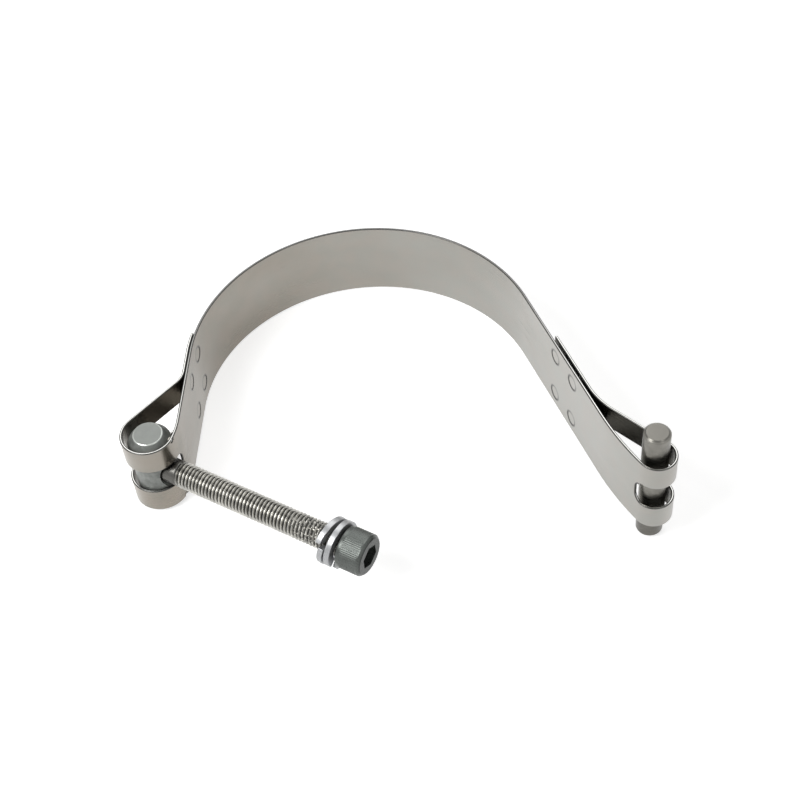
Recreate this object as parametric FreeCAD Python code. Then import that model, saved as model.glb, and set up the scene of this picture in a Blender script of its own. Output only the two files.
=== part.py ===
"""Exhaust clamp in its sprung-open state.

One folded and spot-welded strap, a threaded trunnion in its left eye, a cap screw with two
spring washers in the trunnion, and a loose hinge pin in its right eye. Millimetres, +Z along
the pipe's axis, origin on that axis at the middle of the strap's width, +X towards the pin.
"""
import FreeCAD
import Part
import math
import os

Vector = FreeCAD.Vector

# Strap: one strip of stainless sheet
bore_radius = 66.5
strip_width = 33.5
strip_thickness = 1.1
edge_bevel = 0.2

# Left end of the strap, which holds the trunnion
left_arc_angle = 81.2
left_leg_length = 33.8
left_flare_radius = 34.4
left_flare_angle = 14.9
left_eye_bore = 9.2
left_tail_reach = 30.4
left_bend_radius = 9.0
left_weld_lap = 19.6
left_weld_gap = 0.1
left_weld_rows = 16.8
left_weld_margin = 3.6
left_window_lead = 3.6
left_window_land = -3.0

# Right end of the strap, which holds the pin
right_arc_angle = 74.2
right_leg_length = 66.2
right_flare_radius = 121.4
right_flare_angle = 12.5
right_eye_bore = 6.3
right_tail_reach = 38.5
right_bend_radius = 30.0
right_weld_lap = 28.3
right_weld_gap = 0.8
right_weld_rows = 20.6
right_weld_margin = 4.6
right_window_lead = 2.4
right_window_land = -4.0

# Windows, spot welds and staking of the strap
window_height = 11.5
window_corner = 4.0
weld_pitch = 14.4
weld_nugget_radius = 2.2
electrode_radius = 3.1
electrode_depth = 0.12
stake_radius = 1.8
stake_depth = 0.75
stake_inset = 1.0
stake_path_offset = 0.4

# Threaded trunnion in the left eye
trunnion_length = 34.6
trunnion_radius = 8.2
trunnion_face_radius = 5.4
trunnion_cone_height = 3.9
trunnion_edge_rounding = 0.35
trunnion_seat_clearance = 0.12
trunnion_seat_angle = -70.0

# Cap screw, drawn with a plain shank at the thread's outer size
screw_angle = -35.8
screw_length = 90.0
screw_radius = 5.0
screw_hole_clearance = 0.05
screw_hole_chamfer = 0.9
screw_reach = 83.4
screw_tip_chamfer = 1.0
head_radius = 8.0
head_height = 10.0
head_rim_chamfer = 1.1
head_seat_rounding = 0.4
socket_across_flats = 8.0
socket_depth = 5.0
socket_point_angle = 120.0

# Split spring washers under the screw's head
washer_bore_clearance = 0.45
washer_outer_radius = 9.05
washer_thickness = 2.2
washer_rise = 2.0
washer_split_angle = 8.0
inner_washer_split_at = 208.0
inner_washer_behind_head = 2.0
inner_washer_tilt = 2.0
inner_washer_tilt_towards = 60.0
outer_washer_split_at = 145.0
outer_washer_behind_inner = 3.6
outer_washer_tilt = 8.0
outer_washer_tilt_towards = 30.0

# Loose pin in the right eye
pin_length = 56.0
pin_radius = 5.0
pin_chamfer = 1.0
pin_offset = 1.2
pin_offset_angle = 110.0
centre_mark_radius = 0.7
centre_mark_depth = 0.4

# Sizes that follow from the ones above
mid_radius = bore_radius + strip_thickness / 2
half_width = strip_width / 2
half_thickness = strip_thickness / 2
cutter_margin = 0.5


class StrapEnd:
    """Mid-line of one half of the strap, seen from above.

    It starts at the top of the main arc and heads along +X: main arc, straight leg, flare, eye,
    tail, bend and the stretch that is welded to the leg's outside. The left half is built the
    same way and mirrored. An offset is positive towards the left of the way along the line,
    which is the outside of the main arc and the inside of the eye.
    """

    def __init__(self, mirrored, arc_angle, leg, flare_radius, flare_angle, eye_bore,
                 tail_reach, bend_radius, weld_lap, weld_gap):
        self.mirrored = mirrored
        arc = math.radians(arc_angle)
        flare = math.radians(flare_angle)
        eye_radius = eye_bore + half_thickness
        shift = strip_thickness + weld_gap
        # Local plan of the leg: u along it from the arc's end, v outwards
        eye_u = leg + (flare_radius - eye_radius) * math.sin(flare)
        eye_v = flare_radius - (flare_radius - eye_radius) * math.cos(flare)
        bend_u = eye_u - tail_reach
        rise = shift + bend_radius - eye_v
        spread = math.hypot(tail_reach, rise)
        both = eye_radius + bend_radius
        slope = math.asin(both / spread) - math.atan2(rise, tail_reach)
        tail = math.sqrt(spread ** 2 - both ** 2)
        wrap = math.pi + slope - flare
        straight_lap = min(weld_lap, bend_u)
        arc_lap = (weld_lap - straight_lap) / mid_radius * (mid_radius + shift)
        # Each stretch is its length and its radius, positive where it turns left, 0 if straight
        self.stretches = [
            (arc * mid_radius, -mid_radius),
            (leg, 0.0),
            (flare * flare_radius, flare_radius),
            (wrap * eye_radius, eye_radius),
            (tail, 0.0),
            (slope * bend_radius, -bend_radius),
            (straight_lap, 0.0),
            (arc_lap, mid_radius + shift),
        ]
        self.starts = [0.0]
        self.frames = [(0.0, mid_radius, 0.0)]
        for length, radius in self.stretches:
            self.starts.append(self.starts[-1] + length)
            self.frames.append(self.advance(self.frames[-1], length, radius))
        self.eye_start = self.starts[3]
        self.tail_end = self.starts[5]
        self.path_end = self.starts[8]
        self.cut_end = self.starts[1] + bend_u - weld_lap
        self.shift = shift
        x, y, heading = self.frames[3]
        self.eye_centre = self.place(x - eye_radius * math.sin(heading),
                                     y + eye_radius * math.cos(heading))

    @staticmethod
    def advance(frame, length, radius):
        """Place and heading after going on by a length at a radius."""
        x, y, heading = frame
        if radius == 0.0:
            return (x + length * math.cos(heading), y + length * math.sin(heading), heading)
        turned = heading + length / radius
        return (x + radius * (math.sin(turned) - math.sin(heading)),
                y - radius * (math.cos(turned) - math.cos(heading)), turned)

    def place(self, x, y, z=0.0):
        """Point of the plan in the clamp's frame."""
        return Vector(-x if self.mirrored else x, y, z)

    def at(self, s, offset=0.0, z=0.0):
        """Point at distance s along the mid-line, moved left by the offset."""
        index = 0
        while index < len(self.stretches) - 1 and s > self.starts[index + 1]:
            index += 1
        step = s - self.starts[index]
        x, y, heading = self.advance(self.frames[index], step, self.stretches[index][1])
        return self.place(x - offset * math.sin(heading), y + offset * math.cos(heading), z)

    def normal(self, s):
        """Unit vector to the left of the mid-line at distance s."""
        return (self.at(s, 1.0) - self.at(s)).normalize()

    def edges(self, first, last, offset, z):
        """Edges that follow the mid-line from first to last at an offset."""
        made = []
        for index, (length, radius) in enumerate(self.stretches):
            low = max(first, self.starts[index])
            high = min(last, self.starts[index] + length)
            if high - low < 1e-6:
                continue
            start = self.at(low + 1e-9, offset, z)
            finish = self.at(high, offset, z)
            if radius == 0.0:
                made.append(Part.LineSegment(start, finish).toShape())
            else:
                middle = self.at((low + high) / 2, offset, z)
                made.append(Part.Arc(start, middle, finish).toShape())
        return made

    def ribbon(self, first, last, half_depth, low, high):
        """Solid band around the mid-line between two distances and two heights."""
        one = self.edges(first, last, -half_depth, low)
        other = self.edges(first, last, half_depth, low)
        caps = [Part.LineSegment(self.at(s, -half_depth, low), self.at(s, half_depth, low)).toShape()
                for s in (first, last)]
        wire = Part.Wire(Part.__sortEdges__(one + other + caps))
        return Part.Face(wire).extrude(Vector(0, 0, high - low))


left = StrapEnd(True, left_arc_angle, left_leg_length, left_flare_radius, left_flare_angle,
                left_eye_bore, left_tail_reach, left_bend_radius, left_weld_lap, left_weld_gap)
right = StrapEnd(False, right_arc_angle, right_leg_length, right_flare_radius, right_flare_angle,
                 right_eye_bore, right_tail_reach, right_bend_radius, right_weld_lap,
                 right_weld_gap)


def direction(angle):
    """Unit vector in the plan at an angle from +X."""
    return Vector(math.cos(math.radians(angle)), math.sin(math.radians(angle)), 0)


def folded_strip():
    """The strip, bent to its outline and with its long edges broken."""
    low = -half_width
    chains = []
    for offset in (-half_thickness, half_thickness):
        for end in (left, right):
            chains += end.edges(0.0, end.path_end, offset, low)
    for end in (left, right):
        chains.append(Part.LineSegment(end.at(end.path_end, -half_thickness, low),
                                       end.at(end.path_end, half_thickness, low)).toShape())
    outline = Part.Wire(Part.__sortEdges__(chains))
    strip = Part.Face(outline).extrude(Vector(0, 0, strip_width))
    rims = [edge for edge in strip.Edges
            if edge.BoundBox.ZLength < 1e-6 and edge.Length > strip_thickness * 1.01]
    return strip.makeChamfer(edge_bevel, rims)


def window(end, lead, land):
    """Cutters for the slot with rounded corners that runs round an eye and along its tail."""
    first = end.eye_start - lead
    last = end.tail_end - land
    depth = half_thickness + cutter_margin
    half_height = window_height / 2
    inner = half_height - window_corner
    tall = end.ribbon(first + window_corner, last - window_corner, depth,
                      -half_height, half_height)
    long = end.ribbon(first, last, depth, -inner, inner)
    corners = [Part.makeCylinder(window_corner, 2 * depth, end.at(s, -depth, z), end.normal(s))
               for s in (first + window_corner, last - window_corner)
               for z in (-inner, inner)]
    return [tall, long] + corners


def weld_spots(end, rows, margin):
    """Mid-line distances and heights of the four spot welds of one tail."""
    return [(end.cut_end + margin + step * weld_pitch, side * rows / 2)
            for step in (0, 1) for side in (-1, 1)]


def weld_nuggets(end, rows, margin):
    """Slugs of melted metal that join a tail to its leg."""
    return [Part.makeCylinder(weld_nugget_radius, end.shift, end.at(s, 0, z), end.normal(s))
            for s, z in weld_spots(end, rows, margin)]


def electrode_dimples(end, rows, margin):
    """Shallow round marks that the welding electrodes leave on both outer faces."""
    depth = 2 * electrode_depth
    marks = []
    for s, z in weld_spots(end, rows, margin):
        out = end.normal(s)
        inner_face = end.at(s, -half_thickness - electrode_depth, z)
        outer_face = end.at(s, end.shift + half_thickness + electrode_depth, z)
        marks.append(Part.makeCylinder(electrode_radius, depth, inner_face, out))
        marks.append(Part.makeCylinder(electrode_radius, depth, outer_face, out * -1))
    return marks


def stakes(end):
    """Punch marks at the eye's rims, and the metal that they push over the trunnion's cones."""
    s = end.eye_start + stake_path_offset
    band = end.ribbon(end.eye_start - 4 * stake_radius, end.eye_start + 4 * stake_radius,
                      4 * stake_radius, -half_width, half_width)
    dents = []
    bulges = []
    for side in (-1, 1):
        z = side * (half_width - stake_inset)
        outside = -half_thickness - stake_radius + stake_depth
        dents.append(Part.makeSphere(stake_radius, end.at(s, outside, z)))
        bulge = Part.makeSphere(stake_radius, end.at(s, outside + strip_thickness, z))
        bulges.append(bulge.common(band))
    return dents, bulges


def make_strap():
    strap = folded_strip()
    strap = strap.cut(window(left, left_window_lead, left_window_land)
                      + window(right, right_window_lead, right_window_land))
    dents, bulges = stakes(left)
    nuggets = weld_nuggets(left, left_weld_rows, left_weld_margin)
    nuggets += weld_nuggets(right, right_weld_rows, right_weld_margin)
    dimples = electrode_dimples(left, left_weld_rows, left_weld_margin)
    dimples += electrode_dimples(right, right_weld_rows, right_weld_margin)
    strap = strap.fuse(bulges + nuggets)
    return strap.cut(dents + dimples).removeSplitter()


trunnion_play = left_eye_bore - trunnion_radius - trunnion_seat_clearance
trunnion_centre = left.eye_centre + direction(trunnion_seat_angle) * trunnion_play
screw_axis = direction(screw_angle)
screw_side = direction(screw_angle + 90)


def on_screw(distance):
    """Point on the screw's axis at a distance from the trunnion's axis."""
    return trunnion_centre + screw_axis * distance


def turned(points, centre, axis, across):
    """Solid turned from a closed outline of (radius, height) points and rounded corners."""
    corners = [centre + across * r + axis * h for r, h in points]
    wire = Part.makePolygon(corners + [corners[0]])
    return Part.Face(wire).revolve(centre, axis, 360)


def make_trunnion():
    half = trunnion_length / 2
    shoulder = half - trunnion_cone_height
    barrel = turned([(0, -half), (trunnion_face_radius, -half), (trunnion_radius, -shoulder),
                     (trunnion_radius, shoulder), (trunnion_face_radius, half), (0, half)],
                    trunnion_centre, Vector(0, 0, 1), Vector(1, 0, 0))
    rims = [edge for edge in barrel.Edges if isinstance(edge.Curve, Part.Circle)]
    barrel = barrel.makeFillet(trunnion_edge_rounding, rims)
    hole_radius = screw_radius + screw_hole_clearance
    hole = Part.makeCylinder(hole_radius, 4 * trunnion_radius, on_screw(-2 * trunnion_radius),
                             screw_axis)
    # Countersinks, as deep as the hole's mouth on the barrel's flank
    mouth = math.sqrt(trunnion_radius ** 2 - hole_radius ** 2)
    wide = hole_radius + screw_hole_chamfer + trunnion_radius - mouth
    length = trunnion_radius - mouth + screw_hole_chamfer
    cones = [Part.makeCone(hole_radius, wide, length, on_screw(side * (mouth - screw_hole_chamfer)),
                           screw_axis * side)
             for side in (-1, 1)]
    return barrel.cut([hole] + cones)


def make_cap_screw():
    top = screw_reach + head_height
    tip = screw_reach - screw_length
    rim = head_radius - head_rim_chamfer
    body = turned([(0, tip), (screw_radius - screw_tip_chamfer, tip),
                   (screw_radius, tip + screw_tip_chamfer), (screw_radius, screw_reach),
                   (head_radius - head_seat_rounding, screw_reach),
                   (head_radius, screw_reach + head_seat_rounding),
                   (head_radius, top - head_rim_chamfer), (rim, top), (0, top)],
                  trunnion_centre, screw_axis, screw_side)
    corner = socket_across_flats / math.sqrt(3)
    ring = [on_screw(top - socket_depth)
            + (screw_side * math.cos(turn) + Vector(0, 0, 1) * math.sin(turn)) * corner
            for turn in [math.radians(60 * k) for k in range(6)]]
    hexagon = Part.Face(Part.makePolygon(ring + [ring[0]]))
    socket = hexagon.extrude(screw_axis * (socket_depth + cutter_margin))
    radius = socket_across_flats / 2
    point = radius / math.tan(math.radians(socket_point_angle / 2))
    drill = Part.makeCone(radius, 0, point, on_screw(top - socket_depth), screw_axis * -1)
    return body.cut([socket, drill])


def make_spring_washer(middle, split_at, tilt, towards):
    """Split ring whose ends stand apart along the screw, nearer the tip at its start.

    It leans, so that its rim is nearer the head at the angle it is tilted towards.
    """
    inner = screw_radius + washer_bore_clearance
    sweep = 360.0 - washer_split_angle
    frame = FreeCAD.Placement(on_screw(middle), FreeCAD.Rotation(screw_side, Vector(0, 0, 1),
                                                                 screw_axis, "ZXY"))
    centre_radius = (inner + washer_outer_radius) / 2
    pitch = washer_rise * 360.0 / sweep
    left_handed = True
    helix = Part.makeHelix(pitch, washer_rise, centre_radius, 0.0, left_handed)
    section = Part.makePolygon([
        Vector(inner, 0, 0), Vector(washer_outer_radius, 0, 0),
        Vector(washer_outer_radius, 0, washer_thickness), Vector(inner, 0, washer_thickness),
        Vector(inner, 0, 0)])
    ring = Part.Wire(helix).makePipeShell([section], True, True)
    ring.rotate(Vector(0, 0, 0), Vector(0, 0, 1), split_at - washer_split_angle / 2)
    ring.translate(Vector(0, 0, -(washer_rise + washer_thickness) / 2))
    ring.rotate(Vector(0, 0, 0), direction(towards - 90), tilt)
    ring.Placement = frame.multiply(ring.Placement)
    return ring


def make_hinge_pin():
    centre = right.eye_centre + direction(pin_offset_angle) * pin_offset
    half = pin_length / 2
    pin = turned([(0, -half), (pin_radius - pin_chamfer, -half), (pin_radius, pin_chamfer - half),
                  (pin_radius, half - pin_chamfer), (pin_radius - pin_chamfer, half), (0, half)],
                 centre, Vector(0, 0, 1), Vector(1, 0, 0))
    mark = Part.makeCone(0, centre_mark_radius, centre_mark_depth,
                         centre + Vector(0, 0, half - centre_mark_depth))
    return pin.cut(mark)


inner_washer_middle = screw_reach - inner_washer_behind_head
outer_washer_middle = inner_washer_middle - outer_washer_behind_inner

pieces = {
    "strap": make_strap(),
    "trunnion": make_trunnion(),
    "cap_screw": make_cap_screw(),
    "spring_washer_outer": make_spring_washer(outer_washer_middle, outer_washer_split_at,
                                              outer_washer_tilt, outer_washer_tilt_towards),
    "spring_washer_inner": make_spring_washer(inner_washer_middle, inner_washer_split_at,
                                              inner_washer_tilt, inner_washer_tilt_towards),
    "hinge_pin": make_hinge_pin(),
}

os.makedirs("parts", exist_ok=True)
for name, shape in pieces.items():
    solid = shape.Solids[0]
    solid.exportStep("parts/" + name + ".step")
    box = solid.optimalBoundingBox(True, False)
    print(name, "solids", len(shape.Solids), "valid", solid.isValid(),
          "volume", round(solid.Volume, 1), "faces", len(solid.Faces),
          "x", round(box.XMin, 2), round(box.XMax, 2), "y", round(box.YMin, 2),
          round(box.YMax, 2), "z", round(box.ZMin, 2), round(box.ZMax, 2))
print("left eye", left.eye_centre, "right eye", right.eye_centre)
print("trunnion", trunnion_centre)
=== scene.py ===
"""Exhaust clamp: the looks of the packed part.

Metres, in the part's own frame: +Z along the pipe's axis, origin on that axis, +X towards the pin.
"""

import math
from collections import Counter

import bpy
from bpy.props import FloatProperty, FloatVectorProperty, IntProperty, PointerProperty
from mathutils import Matrix, Vector


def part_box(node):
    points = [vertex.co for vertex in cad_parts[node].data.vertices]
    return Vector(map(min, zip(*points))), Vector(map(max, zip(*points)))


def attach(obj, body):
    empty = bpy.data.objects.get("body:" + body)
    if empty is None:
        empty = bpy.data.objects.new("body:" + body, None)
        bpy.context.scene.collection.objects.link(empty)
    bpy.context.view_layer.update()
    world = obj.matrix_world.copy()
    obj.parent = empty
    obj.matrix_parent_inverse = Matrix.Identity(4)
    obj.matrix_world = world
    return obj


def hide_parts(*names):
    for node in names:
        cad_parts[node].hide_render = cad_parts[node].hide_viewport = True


bl_info = {
    "name": "Exhaust Clamp",
    "version": (1, 0, 0),
    "blender": (4, 5, 0),
    "location": "3D View > Sidebar > Clamp",
    "description": "Builds the visible pieces of a strap clamp and the studio around it",
    "category": "Object",
}

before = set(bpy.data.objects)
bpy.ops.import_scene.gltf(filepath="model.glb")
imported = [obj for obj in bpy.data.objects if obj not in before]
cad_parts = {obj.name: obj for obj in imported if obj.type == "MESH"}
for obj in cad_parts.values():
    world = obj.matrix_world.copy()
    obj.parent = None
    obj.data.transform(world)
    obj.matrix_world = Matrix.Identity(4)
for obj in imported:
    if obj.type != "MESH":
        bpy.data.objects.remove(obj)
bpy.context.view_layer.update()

MM = 0.001
NEAR = 0.001 * MM
THIN = 0.1 * NEAR
ONE_TURN = 2 * math.pi
WHITE = (1.0, 1.0, 1.0, 1.0)


def length(name, description, default):
    """A size in metres, given in millimetres."""
    return FloatProperty(name=name, description=description, default=default * MM,
                         unit="LENGTH", precision=5)


def degrees(name, description, default):
    """An angle, given in degrees."""
    return FloatProperty(name=name, description=description, default=math.radians(default),
                         subtype="ANGLE")


def colour(name, description, default):
    """A linear colour."""
    return FloatVectorProperty(name=name, description=description, default=default,
                               subtype="COLOR", size=3, min=0.0, max=1.0)


def level(name, description, default):
    """A strength of light."""
    return FloatProperty(name=name, description=description, default=default, min=0.0)


class StrapSizes(bpy.types.PropertyGroup):
    """Sizes of the folded strap."""
    bore_radius: length("Pipe seat radius", "Inside radius of the main arc", 66.5)
    width: length("Width", "Width of the strip", 33.5)
    thickness: length("Thickness", "Thickness of the strip", 1.1)
    rim_radius: length("Rim radius", "Rounding of the strip's edges", 0.42)
    window_height: length("Window height", "Height of the slots round the eyes", 11.5)
    window_corner: length("Window corner", "Corner radius of the slots", 4.0)
    weld_pitch: length("Weld pitch", "Distance between spot welds along the strip", 14.4)
    weld_radius: length("Weld radius", "Radius of the electrode's mark", 3.1)
    weld_depth: length("Weld depth", "Depth of the electrode's mark", 0.14)
    nugget_radius: length("Nugget radius", "Radius of the melted slug of a weld", 2.2)
    nugget_overlap: length("Nugget overlap", "How deep a slug reaches into the strip", 0.15)
    stake_radius: length("Stake radius", "Radius of the punch at the eye's rims", 1.3)
    stake_depth: length("Stake depth", "Depth of the punch marks", 0.6)
    stake_inset: length("Stake inset", "Distance of the punch from the strip's edge", 0.55)


class StrapEndSizes(bpy.types.PropertyGroup):
    """Sizes of one end of the strap, from the top of the main arc to the cut end."""
    arc_angle: degrees("Arc", "Angle of this half of the main arc", 81.2)
    leg: length("Leg", "Straight leg after the arc", 33.8)
    flare_radius: length("Flare radius", "Mid-line radius of the outward flare", 34.4)
    flare_angle: degrees("Flare", "Angle of the outward flare", 14.9)
    eye_bore: length("Eye bore", "Inside radius of the eye", 9.2)
    tail_reach: length("Tail reach", "From the eye's centre to the bend", 30.4)
    bend_radius: length("Bend radius", "Mid-line radius of the bend before the lap", 9.0)
    weld_lap: length("Weld lap", "Length of the tail that lies along the leg", 19.6)
    weld_gap: length("Weld gap", "Space between tail and leg", 0.1)
    weld_rows: length("Weld rows", "Distance between the two rows of welds", 16.8)
    weld_margin: length("Weld margin", "From the cut end to the first weld", 3.6)
    window_lead: length("Window lead", "Length of the slot before the eye", 3.6)
    window_land: length("Window land", "From the slot's end to the bend", -3.0)


class TrunnionSizes(bpy.types.PropertyGroup):
    """Sizes of the trunnion."""
    radius: length("Radius", "Radius of the barrel", 8.2)
    length: length("Length", "Length over both faces", 34.6)
    face_radius: length("Face radius", "Radius of the flat end faces", 5.4)
    cone_height: length("Cone height", "Height of the coned ends", 3.9)
    edge_radius: length("Edge radius", "Rounding of the edges", 0.35)
    hole_radius: length("Hole radius", "Radius of the cross hole", 5.05)
    hole_chamfer: length("Hole chamfer", "Countersink of the cross hole", 0.9)


class ScrewSizes(bpy.types.PropertyGroup):
    """Sizes of the cap screw."""
    angle: degrees("Angle", "Direction of the screw in plan", -35.8)
    reach: length("Reach", "From the trunnion's axis to the head's seat", 83.4)
    length: length("Length", "Length under the head", 90.0)
    crest_radius: length("Crest radius", "Outer radius of the thread", 4.98)
    root_radius: length("Root radius", "Radius at the thread's root", 4.1)
    pitch: length("Pitch", "Pitch of the thread", 1.5)
    patch_end: length("Patch end", "Where the locking patch on the thread ends", 12.6)
    patch_radius: length("Patch radius", "Radius of the filled-up thread", 4.85)
    tip_chamfer: length("Tip chamfer", "Chamfer at the screw's tip", 1.0)
    head_radius: length("Head radius", "Radius of the head", 8.0)
    head_height: length("Head height", "Height of the head", 10.0)
    rim_chamfer: length("Rim chamfer", "Chamfer of the head's outer rim", 1.1)
    knurl_depth: length("Knurl depth", "Depth of the head's knurl", 0.12)
    knurl_count: IntProperty(name="Knurls", description="Ridges round the head", default=72)
    socket_flats: length("Socket", "Size of the hexagon across its flats", 8.0)
    socket_depth: length("Socket depth", "Depth of the hexagon", 5.0)


class WasherSizes(bpy.types.PropertyGroup):
    """Sizes of the split spring washers."""
    bore_radius: length("Bore radius", "Inside radius", 5.45)
    outer_radius: length("Outer radius", "Outside radius", 9.05)
    thickness: length("Thickness", "Thickness of the wire", 2.2)
    rise: length("Rise", "How far the ends stand apart", 2.0)
    split_angle: degrees("Split", "Angle of the gap between the ends", 8.0)
    edge_radius: length("Edge radius", "Rounding of the wire's edges", 0.22)
    inner_behind: length("Inner place", "From the head's seat to the inner washer", 2.0)
    inner_split_at: degrees("Inner split", "Place of the inner washer's split", 220.0)
    inner_tilt: degrees("Inner tilt", "Lean of the inner washer", 2.0)
    inner_towards: degrees("Inner lean", "Where its rim is nearest the head", 60.0)
    outer_behind: length("Outer place", "From the inner washer to the outer", 3.6)
    outer_split_at: degrees("Outer split", "Place of the outer washer's split", 145.0)
    outer_tilt: degrees("Outer tilt", "Lean of the outer washer", 8.0)
    outer_towards: degrees("Outer lean", "Where its rim is nearest the head", 30.0)


class PinSizes(bpy.types.PropertyGroup):
    """Sizes of the hinge pin."""
    radius: length("Radius", "Radius of the pin", 5.0)
    length: length("Length", "Length of the pin", 56.0)
    chamfer: length("Chamfer", "Chamfer at both ends", 1.0)
    mark_radius: length("Mark radius", "Radius of the centre mark", 0.7)
    mark_depth: length("Mark depth", "Depth of the centre mark", 0.4)


class Finishes(bpy.types.PropertyGroup):
    """Colours of the metals."""
    strap: colour("Strap", "Rolled stainless strip", (0.345, 0.343, 0.322))
    # Painted shade colour of the strap, laid over its left arcs and inside its eyes, with some
    # random warm tone.
    strap_shade_and_tone: colour("Strap tint", "Warm tint in the strip", (0.25, 0.232, 0.20))
    # Painted light of the strap's edges: a highlight line in this colour, and painted shade in a
    # darker copy of it.
    strap_edge_painted_light: colour("Strap edge", "Sheared edge of the strip", (0.66, 0.655, 0.63))
    trunnion: colour("Trunnion", "Phosphated steel", (0.285, 0.30, 0.282))
    screw: colour("Screw", "Dark coated steel", (0.54, 0.53, 0.495))
    head: colour("Screw head", "Grey-green coat of the head", (0.108, 0.118, 0.110))
    washer: colour("Washers", "Bright zinc", (0.43, 0.437, 0.445))
    pin: colour("Pin", "Plain ground steel", (0.235, 0.227, 0.205))


class StudioSettings(bpy.types.PropertyGroup):
    """Camera, floor and light."""
    camera_place: FloatVectorProperty(name="Camera place", description="Where the camera stands",
                                      default=(0.000351, -0.402572, 0.454157),
                                      subtype="TRANSLATION", size=3, precision=6)
    yaw: degrees("Yaw", "Camera's turn to the right", 1.62)
    pitch: degrees("Pitch", "Camera's tilt", -49.335)
    roll: degrees("Roll", "Camera's roll", -5.781)
    lens: FloatProperty(name="Lens", description="Focal length in millimetres",
                        default=70.35015, min=1.0)
    floor_slope: FloatVectorProperty(name="Floor slope", size=2,
                                     description="Rise of the floor along X and Y, so that the"
                                                 " part rests on it", default=(-0.05187, 0.0341))
    floor_height: length("Floor height", "Height of the floor under the origin", -20.94)
    floor_glow: level("Floor glow", "White added to the floor as it is seen", 0.68)
    room_front: FloatVectorProperty(name="Room front", size=3, subtype="DIRECTION",
                                    description="Where the room is palest",
                                    default=(-0.6, -0.8, 0.0))
    room_front_level: level("Room front light", "Light from there", 0.32)
    room_back_level: level("Room back light", "Light from opposite it", 0.06)
    room_top_level: level("Room top light", "Light from above", 0.05)


def clear_selection():
    """Leaves nothing selected."""
    bpy.ops.object.select_all(action="DESELECT")


def activate(piece):
    """Selects one piece alone."""
    clear_selection()
    piece.select_set(True)
    bpy.context.view_layer.objects.active = piece


def mode(name):
    """Goes into a mesh or out of it."""
    bpy.ops.object.mode_set(mode=name)


def edit(piece):
    """Opens a piece's mesh with all of it selected."""
    activate(piece)
    mode("EDIT")
    bpy.ops.mesh.select_all(action="SELECT")


def choose(piece, kind, chosen):
    """Opens a piece's mesh with only these edges or faces selected."""
    def items():
        return piece.data.edges if kind == "EDGE" else piece.data.polygons

    wanted = {item.index for item in items() if chosen(item)}
    activate(piece)
    mode("EDIT")
    bpy.ops.mesh.select_mode(type=kind)
    bpy.ops.mesh.select_all(action="DESELECT")
    mode("OBJECT")
    for item in items():
        item.select = item.index in wanted
        if item.select:
            for index in item.vertices:
                piece.data.vertices[index].select = True
    mode("EDIT")


def close_mesh():
    """Goes back to whole objects, with points as what is picked next."""
    bpy.ops.mesh.select_mode(type="VERT")
    mode("OBJECT")


def named(name):
    """The active object, renamed."""
    bpy.context.object.name = name
    return bpy.context.object


def added(name):
    """The mesh just added, renamed, with its place put into its points."""
    bpy.ops.object.transform_apply(location=True, rotation=True, scale=True)
    return named(name)


def join(piece, others):
    """Makes one mesh of several."""
    activate(piece)
    for other in others:
        other.select_set(True)
    bpy.ops.object.join()


def apply_modifier(piece, kind, **settings):
    """Adds a modifier with its settings and applies it."""
    activate(piece)
    modifier = piece.modifiers.new(kind.title(), kind)
    for key, value in settings.items():
        setattr(modifier, key, value)
    bpy.ops.object.modifier_apply(modifier=modifier.name)
    return piece


def round_edges(piece, width, segments=2, angle=60.0):
    """Bevels all edges sharper than an angle in degrees."""
    return apply_modifier(piece, "BEVEL", width=width, segments=segments, limit_method="ANGLE",
                          angle_limit=math.radians(angle), use_clamp_overlap=False)


def cut(piece, cutter, operation="DIFFERENCE"):
    """Cuts or joins with a tool, which is then removed."""
    apply_modifier(piece, "BOOLEAN", object=cutter, operation=operation, solver="EXACT")
    bpy.data.objects.remove(cutter)
    return piece


def place(piece, matrix):
    """Puts a piece's place into its mesh, so that its object stays at the origin."""
    activate(piece)
    piece.matrix_world = matrix @ piece.matrix_world
    bpy.ops.object.transform_apply(location=True, rotation=True, scale=True)
    return piece


def tidy(piece, angle=35.0):
    """Merges doubles, points faces outwards and smooths by angle."""
    edit(piece)
    bpy.ops.mesh.remove_doubles(threshold=NEAR)
    bpy.ops.mesh.normals_make_consistent(inside=False)
    mode("OBJECT")
    bpy.ops.object.shade_smooth_by_angle(angle=math.radians(angle))
    return piece


def section(name, points, closed=True):
    """An outline in the XZ plane, from points of radius and height."""
    bpy.ops.mesh.primitive_circle_add(vertices=len(points), radius=1.0)
    piece = named(name)
    for vertex, (radius, height) in zip(piece.data.vertices, points):
        vertex.co = (radius, 0.0, height)
    if not closed:
        ends = {0, len(points) - 1}
        choose(piece, "EDGE", lambda edge: set(edge.vertices) == ends)
        bpy.ops.mesh.delete(type="EDGE")
        close_mesh()
    return piece


def turn(piece, steps, angle=ONE_TURN, rise=0.0, turns=1):
    """Turns an outline about Z, with a rise if it is a helix."""
    return apply_modifier(piece, "SCREW", axis="Z", angle=angle, steps=steps, render_steps=steps,
                          screw_offset=rise, iterations=turns, use_merge_vertices=True,
                          merge_threshold=THIN, use_normal_calculate=True)


def middle_of(node):
    """Where the axis of a packed node crosses the plane Z = 0."""
    low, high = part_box(node)
    return (low + high) / 2 * Vector((1, 1, 0))


def finish_piece(piece, name, body, node, material):
    """Names a finished piece, gives it its metal and lets it ride in place of a CAD node."""
    piece.name = name
    piece.data.name = name
    piece.data.materials.clear()
    piece.data.materials.append(material)
    apply_modifier(piece, "WEIGHTED_NORMAL", keep_sharp=True)
    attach(piece, body)
    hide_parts(node)
    return piece


# Materials

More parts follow.
